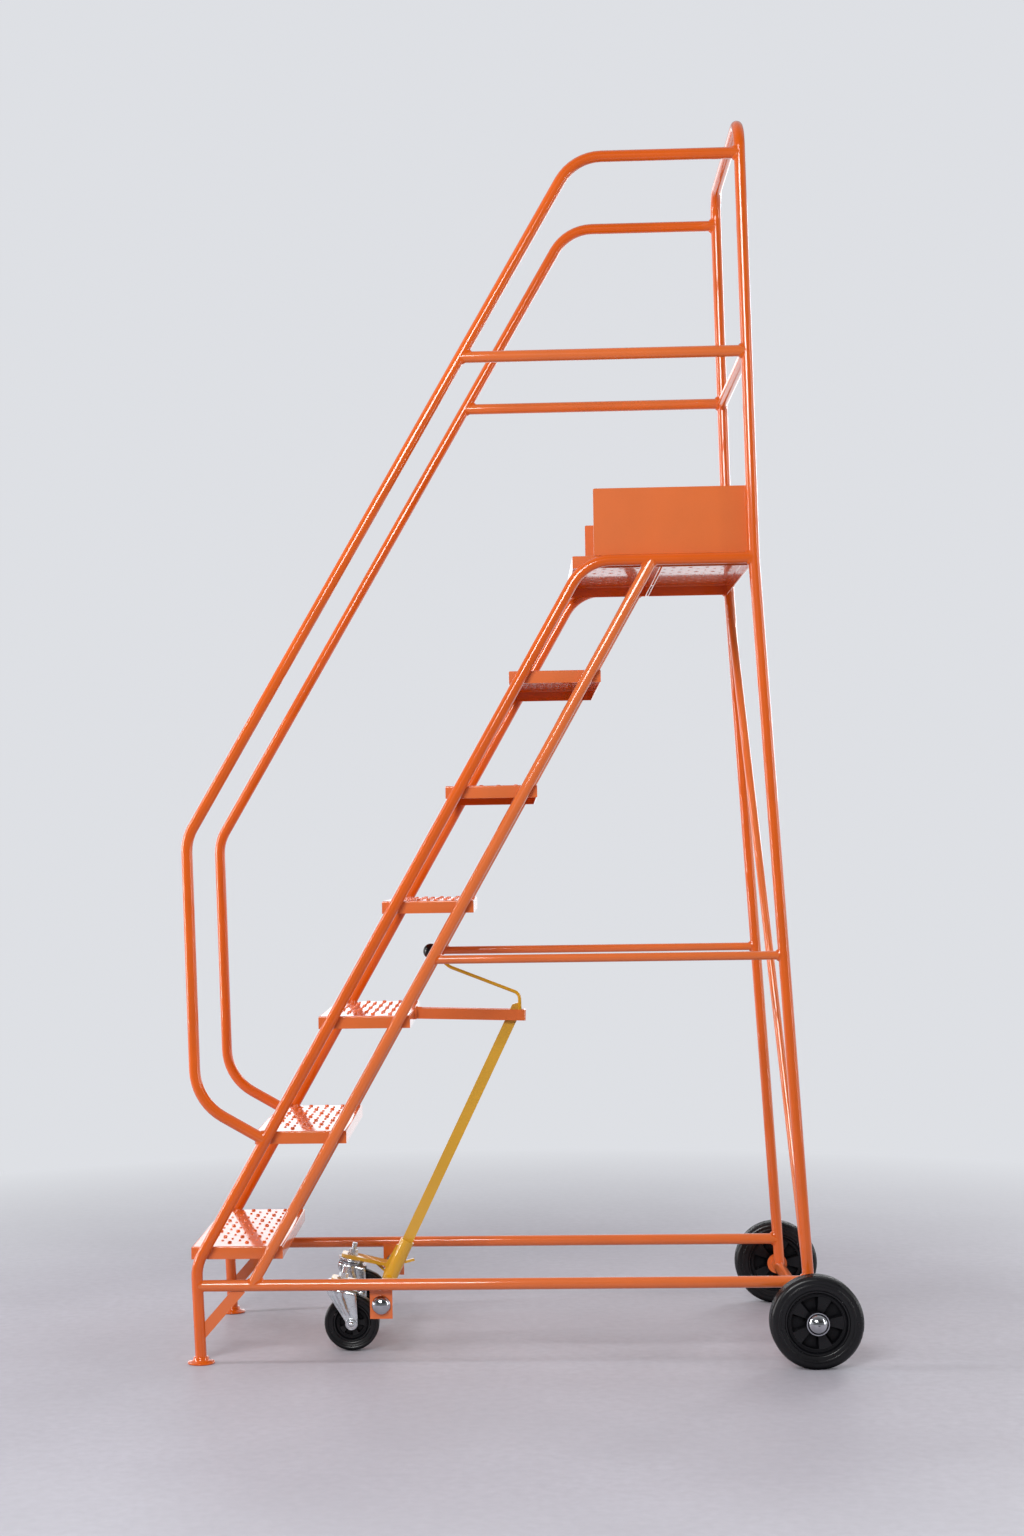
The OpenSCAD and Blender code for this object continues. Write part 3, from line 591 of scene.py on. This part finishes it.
# Softened edges on the flat bar, plate and bolt work: radius in millimetres for each set of nodes
SOFT_EDGES = {
    0.6: ("castor_bolts", "castor_nuts"),
    0.7: ("lever_socket", "castor_axle_l", "castor_axle_r"),
    0.8: ("lever_guide", "lever_gusset", "axle_collars", "toe_board_l", "toe_board_r", "toe_board_rear"),
    0.9: ("lever_bar", "pivot_plates", "foot_braces"),
    1.0: ("castor_arms",),
}
for width, names in SOFT_EDGES.items():
    for n in names:
        soft = NODES[n].modifiers.new("edges", "BEVEL")
        soft.width, soft.segments, soft.limit_method = width * MM, 3, "ANGLE"
        soft.angle_limit = math.radians(40)
        soft.harden_normals = True

# ---------------------------------------------------------------- weld beads

WELD, THIN_WELD, LEVER_WELD = 6.0, 5.0, 4.5  # leg of a fillet: frame tubes, ties and braces, lever
PAN_RIPPLE, PANEL_RIPPLE, ARM_RIPPLE = 2.8, 2.2, 2.6  # radius of the short straight beads
SINK = 0.3 * MM  # depth of a fillet's toes under the surface of the tubes
WAVE_POINTS = 9  # along each bead
TREES = {}


def surface(node):
    """Search tree of a node's faces, built once."""
    if node not in TREES:
        mesh = NODES[node].data
        TREES[node] = BVHTree.FromPolygons([v.co.copy() for v in mesh.vertices],
                                           [tuple(p.vertices) for p in mesh.polygons])
    return TREES[node]


def weld_loops(a, b, reach=0.55 * MM):
    """Edge points where the coped ends of tube a meet node b, one group for each joint."""
    near = [tuple(round(c, 7) for c in v.co) for v in NODES[a].data.vertices
            if surface(b).find_nearest(v.co, reach)[0] is not None]
    points = np.array(sorted(set(near)))
    loops = []
    while len(points) > 5:
        group = np.linalg.norm(points - points[0], axis=1) < 60 * MM
        group = np.linalg.norm(points - points[group].mean(0), axis=1) < 50 * MM
        if group.sum() > 5:
            loops.append(points[group])
        points = points[~group]
    return loops


def smoothed(p):
    """Running mean of a closed path."""
    return sum(np.roll(p, i, 0) for i in range(-4, 5)) / 9


def evened(path, closed):
    """Even points along a path, and a factor per point for the slow waver of a hand-laid bead."""
    steps = np.linalg.norm(np.diff(path, axis=0), axis=1)
    along = np.concatenate([[0], np.cumsum(steps)])
    length = along[-1]
    n = max(8, int(length / (0.9 * MM)))
    t = np.linspace(0, length, n, endpoint=not closed)
    p = np.stack([np.interp(t, along, path[:, i]) for i in range(3)], 1)
    if closed:
        p = smoothed(p)
    wave = 1 + 0.03 * np.sin(t / (4.0 * MM) * 2 * math.pi + RNG.uniform(0, 6))
    levels = RNG.uniform(-1, 1, WAVE_POINTS)
    levels[-1] = levels[0] if closed else levels[-1]
    wave = wave * (1 + 0.14 * np.interp(t, np.linspace(0, length, WAVE_POINTS), levels))
    if not closed:
        wave = wave * np.clip(np.minimum(t, length - t) / (1.5 * MM) + 0.5, 0.5, 1)
    return p, wave


def outline(loop, axis, sectors=30):
    """Closed path of the outermost point of a loop in each sector about the axis."""
    u = np.cross(axis, (0.2, 0.5, 0.8))
    u /= np.linalg.norm(u)
    w = np.cross(axis, u)
    d = loop - loop.mean(0)
    angle, radius = np.arctan2(d @ w, d @ u), np.hypot(d @ w, d @ u)
    keep = []
    for k in range(sectors):
        start = -math.pi + k * 2 * math.pi / sectors
        inside = np.where((angle >= start) & (angle < start + 2 * math.pi / sectors))[0]
        if len(inside):
            keep.append(inside[np.argmax(radius[inside])])
    keep = [k for k in keep if radius[k] > 0.75 * np.median(radius[keep])]
    path = loop[sorted(keep, key=lambda k: angle[k])]
    return np.vstack([path, path[:1]])


def bead(loop, axis, b, size):
    """Fillet weld round a loop, from the coped tube's face down to node b's."""
    axis = axis / np.linalg.norm(axis)
    p, wave = evened(outline(loop, axis), True)
    out = p - p.mean(0)
    out -= np.outer(out @ axis, axis)
    out /= np.linalg.norm(out, axis=1)[:, None]
    leg = size * MM * wave[:, None]
    toe_a = p + axis * leg - out * SINK
    toe_b = []
    for q in p + out * leg:
        at, normal, _, _ = surface(b).find_nearest(Vector(q))
        toe_b.append(at - normal * SINK)
    toe_b = smoothed(np.array(toe_b))
    root = p - (axis + out) * MM
    ring = [root, toe_a]
    for u in (0.2, 0.4, 0.6, 0.8):
        point = toe_a * (1 - u) + toe_b * u
        ring.append(point + (point - root) * 0.5 * u * (1 - u))
    ring.append(toe_b)
    rows = np.stack(ring, 1).reshape(-1, 3)
    faces = grid_faces(len(p), len(ring), close_rows=True)
    volume = sum(np.dot(rows[f[0]], np.cross(rows[f[1]], rows[f[2]]) + np.cross(rows[f[2]], rows[f[3]]))
                 for f in faces)
    return rows, faces if volume > 0 else [f[::-1] for f in faces]


def ripple(start, end, points, size):
    """Short straight bead, rounded in section and drawn in at its ends."""
    p, wave = evened(np.linspace(start, end, points), False)
    return sweep(p, size * MM * wave)


def tube_axis(node, loop):
    """Direction of the tube near a loop: from the loop to the middle of the nearby tube points."""
    points = np.array([v.co for v in NODES[node].data.vertices])
    centre = loop.mean(0)
    away = np.linalg.norm(points - centre, axis=1)
    near = [k for k in np.argsort(away) if away[k] > 70 * MM][:24]
    return points[near].mean(0) - centre


def tube_welds(shape):
    """A fillet at every joint between two tubes of the frame."""
    pairs = [("back_midrail", "rear_hoop"), ("back_brace", "rear_hoop"), ("rear_hoop", "axle_tube")]
    for side in "lr":
        pairs += [("rear_stringer_" + side, "base_rail_" + side),
                  ("rear_stringer_" + side, "front_stringer_" + side),
                  ("base_rail_" + side, "front_stringer_" + side), ("base_rail_" + side, "rear_hoop"),
                  ("side_tie_" + side, "rear_stringer_" + side), ("side_tie_" + side, "rear_hoop"),
                  ("handrail_" + side, "front_stringer_" + side), ("handrail_" + side, "rear_hoop"),
                  ("guard_midrail_" + side, "handrail_" + side), ("guard_midrail_" + side, "rear_hoop"),
                  ("front_stringer_" + side, "rear_hoop")]
    for a, b in pairs:
        for loop in weld_loops(a, b):
            size = THIN_WELD if "tie" in a or "brace" in a else WELD
            shape.add(*bead(loop, tube_axis(a, loop), b, size))


def tread_welds(shape):
    """Two beads beside each stringer, at both ends of every tread."""
    nose_lead, stringer_gap, half_width = 34.6 * MM, 149.2 * MM, 7.5 * MM
    first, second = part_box("tread_1"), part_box("tread_2")
    run, rise = (second[1] - first[1]).x, (second[1] - first[1]).z
    along = np.array([run, 0, rise]) / math.hypot(run, rise)
    across = np.array([rise, 0, -run]) / math.hypot(run, rise)
    for i in range(1, 7):
        lo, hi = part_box("tread_%d" % i)
        drop = along * (hi.z - lo.z - 3 * MM) / along[2]
        for end, y in ((-1, lo.y), (1, hi.y)):
            for back in (0.0, stringer_gap):
                top = np.array([lo.x + nose_lead + back, y + end * 0.6 * MM, hi.z])
                for off in (-half_width, half_width):
                    start = top + across * off - along * 1.5 * MM
                    shape.add(*ripple(start, start - drop, 12, PAN_RIPPLE))


def panel_welds(shape):
    """Two short beads under each end of a platform panel."""
    for n in PANELS:
        lo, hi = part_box(n)
        for end, y in ((-1, lo.y), (1, hi.y)):
            for x in (lo.x + 70 * MM, lo.x + 150 * MM):
                start = np.array([x, y + end * 2.5 * MM, hi.z - 21.5 * MM])
                shape.add(*ripple(start, start + (26 * MM, 0, 0), 10, PANEL_RIPPLE))


def lever_welds(shape):
    """Fillets where the bar and the socket meet the sleeve, and along the castor arms."""
    for a, b in (("lever_socket", "pivot_sleeve"), ("lever_bar", "pivot_sleeve")):
        for loop in weld_loops(a, b):
            shape.add(*bead(loop, tube_axis(a, loop), b, LEVER_WELD))
    arm_y, half_length = 157 * MM, 24 * MM
    pivot = np.array(JOINTS["lever_swing"]["pos_m"])
    up = np.array(JOINTS["castor_swivel_l"]["axis"])
    back = np.cross((0, 1, 0), up)
    for y in (arm_y, -arm_y):
        for height, reach in ((18.6, -7.5), (10.3, -13.6)):
            at = pivot + up * height * MM + back * reach * MM
            shape.add(*ripple(at + (0, y - half_length, 0), at + (0, y + half_length, 0), 14, ARM_RIPPLE))


frame_beads, lever_beads = Shape(), Shape()
tube_welds(frame_beads)
tread_welds(frame_beads)
panel_welds(frame_beads)
lever_welds(lever_beads)
piece("frame_weld_beads", frame_beads, "frame_paint", "frame", smooth=75)
piece("lever_weld_beads", lever_beads, "lever_paint", "lever", smooth=75)

# ---------------------------------------------------------------- stage, light and camera

BACKDROP = (0.73, 0.745, 0.78)
FLOOR_RINGS, FLOOR_SEG = (0.5, 3.0, 12.0, 60.0), 64
# Brightness of the surroundings for the object, from the horizon (0) to straight up (1)
SKY = [(0.0, 1.0), (0.04, 1.8), (0.2, 1.8), (0.30, 0.7), (0.48, 0.3), (0.62, 0.62), (0.74, 0.6), (1.0, 0.6)]


def floor_material():
    """Mottled grey floor whose rim glows in the backdrop's colour, so the two run together."""
    m = Mat("studio_floor", Metallic=0.0)
    new, link = m.tree.nodes.new, m.tree.links.new
    tone = m.mix(m.span(m.noise(1.6, 5), 0.0, 1.0), (0.45, 0.435, 0.485), (0.50, 0.485, 0.54))
    m.set("Base Color", m.mix(m.span(m.noise(45, 4), 0.0, 0.4), tone, (0.40, 0.385, 0.43)))
    m.set("Roughness", m.span(m.noise(40, 4), 0.5, 0.6))
    m.set("Specular IOR Level", 0.3)
    m.bump(m.noise(130, 3), 0.05, 0.001)
    distance = new("ShaderNodeVectorMath")
    distance.operation = "LENGTH"
    link(m.coord, distance.inputs[0])
    split = new("ShaderNodeSeparateXYZ")
    link(m.coord, split.inputs[0])
    # To the camera the rim is plain; to the object it is dimmer in front than behind
    strength = new("ShaderNodeMix")
    link(new("ShaderNodeLightPath").outputs["Is Camera Ray"], strength.inputs[0])
    link(m.span(split.outputs["Y"], 0.3, 1.4, -1.5, 1.5), strength.inputs[2])
    strength.inputs[3].default_value = 1.0
    glow = new("ShaderNodeEmission")
    glow.inputs["Color"].default_value = (*BACKDROP, 1)
    link(strength.outputs[0], glow.inputs["Strength"])
    fade = new("ShaderNodeMixShader")
    link(m.span(distance.outputs["Value"], 0.0, 1.0, 1.3, 3.4), fade.inputs["Fac"])
    link(m.bsdf.outputs[0], fade.inputs[1])
    link(glow.outputs[0], fade.inputs[2])
    link(fade.outputs[0], m.tree.nodes["Material Output"].inputs["Surface"])
    return m.mat


def stage_floor():
    """Pale floor that fades into the backdrop a little way behind the ladder."""
    mesh = bpy.data.meshes.new("floor")
    verts = [(r * c, r * s, 0.0) for r in FLOOR_RINGS for c, s in circle(FLOOR_SEG)]
    mesh.from_pydata(verts, [], [tuple(range(FLOOR_SEG))] + grid_faces(len(FLOOR_RINGS), FLOOR_SEG))
    mesh.materials.append(floor_material())
    obj = bpy.data.objects.new("floor", mesh)
    bpy.context.scene.collection.objects.link(obj)


def studio_world():
    """Flat backdrop to the camera; to the object a bright horizon, dimmer above and in front."""
    world = bpy.data.worlds.new("studio")
    world.use_nodes = True
    new, link = world.node_tree.nodes.new, world.node_tree.links.new
    split = new("ShaderNodeSeparateXYZ")
    link(new("ShaderNodeTexCoord").outputs["Generated"], split.inputs[0])
    ramp = new("ShaderNodeValToRGB")
    link(split.outputs["Z"], ramp.inputs["Fac"])
    while len(ramp.color_ramp.elements) < len(SKY):
        ramp.color_ramp.elements.new(0.5)
    for element, (at, level) in zip(ramp.color_ramp.elements, SKY):
        element.position = at
        element.color = (level * 0.985, level, level * 1.03, 1)
    dim = new("ShaderNodeMapRange")
    for key, value in (("From Min", -0.7), ("From Max", 0.2), ("To Min", 0.12), ("To Max", 1.0)):
        dim.inputs[key].default_value = value
    link(split.outputs["Y"], dim.inputs["Value"])
    lit = new("ShaderNodeVectorMath")
    lit.operation = "SCALE"
    link(ramp.outputs["Color"], lit.inputs[0])
    link(dim.outputs["Result"], lit.inputs["Scale"])
    mix = new("ShaderNodeMix")
    mix.data_type = "RGBA"
    link(new("ShaderNodeLightPath").outputs["Is Camera Ray"], mix.inputs["Factor"])
    link(lit.outputs[0], mix.inputs[MIX_A])
    mix.inputs[MIX_B].default_value = (*BACKDROP, 1)
    link(mix.outputs[MIX_RESULT], world.node_tree.nodes["Background"].inputs["Color"])
    bpy.context.scene.world = world


def area(name, place, target, size, power):
    lamp = bpy.data.lights.new(name, "AREA")
    lamp.shape, lamp.size, lamp.size_y = "RECTANGLE", *size
    lamp.energy = power
    obj = bpy.data.objects.new(name, lamp)
    obj.location = place
    obj.rotation_euler = (Vector(target) - Vector(place)).to_track_quat("-Z", "Y").to_euler()
    bpy.context.scene.collection.objects.link(obj)


def add_camera():
    """Nearly square view of the ladder's side, with a shifted lens."""
    yaw, pitch, roll = 0.0399, 0.0266, -0.0148
    data = bpy.data.cameras.new("camera")
    data.sensor_width, data.lens = 36.0, 51.5625
    data.shift_x, data.shift_y = 0.05892, 0.02786
    data.clip_end = 200
    right = Vector((math.cos(yaw), math.sin(yaw), 0))
    level = Vector((-math.sin(yaw), math.cos(yaw), 0))
    ahead = level * math.cos(pitch) + Vector((0, 0, math.sin(pitch)))
    up = Vector((0, 0, math.cos(pitch))) - level * math.sin(pitch)
    right, up = right * math.cos(roll) + up * math.sin(roll), up * math.cos(roll) - right * math.sin(roll)
    turn = Matrix((right, up, -ahead)).transposed().to_4x4()
    foot_lo, foot_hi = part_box("foot_pads")
    place = ((foot_lo.x + foot_hi.x) / 2 + 0.7008, -5.1595, 1.0858)
    camera = bpy.data.objects.new("camera", data)
    camera.matrix_world = Matrix.Translation(place) @ turn
    bpy.context.scene.collection.objects.link(camera)
    bpy.context.scene.camera = camera


stage_floor()
studio_world()
area("window_left", (-4.0, -0.4, 1.9), (0, 0, 1.4), (0.3, 3.0), 80)
area("window_right", (3.9, -1.6, 1.7), (0, 0, 1.4), (0.22, 3.0), 28)
area("softbox", (-1.2, -4.6, 3.4), (0, 0, 1.2), (2.2, 1.4), 185)
area("back", (2.6, 3.4, 2.6), (0, 0, 1.4), (0.6, 2.4), 40)
add_camera()
bpy.context.scene.view_settings.view_transform = "Standard"
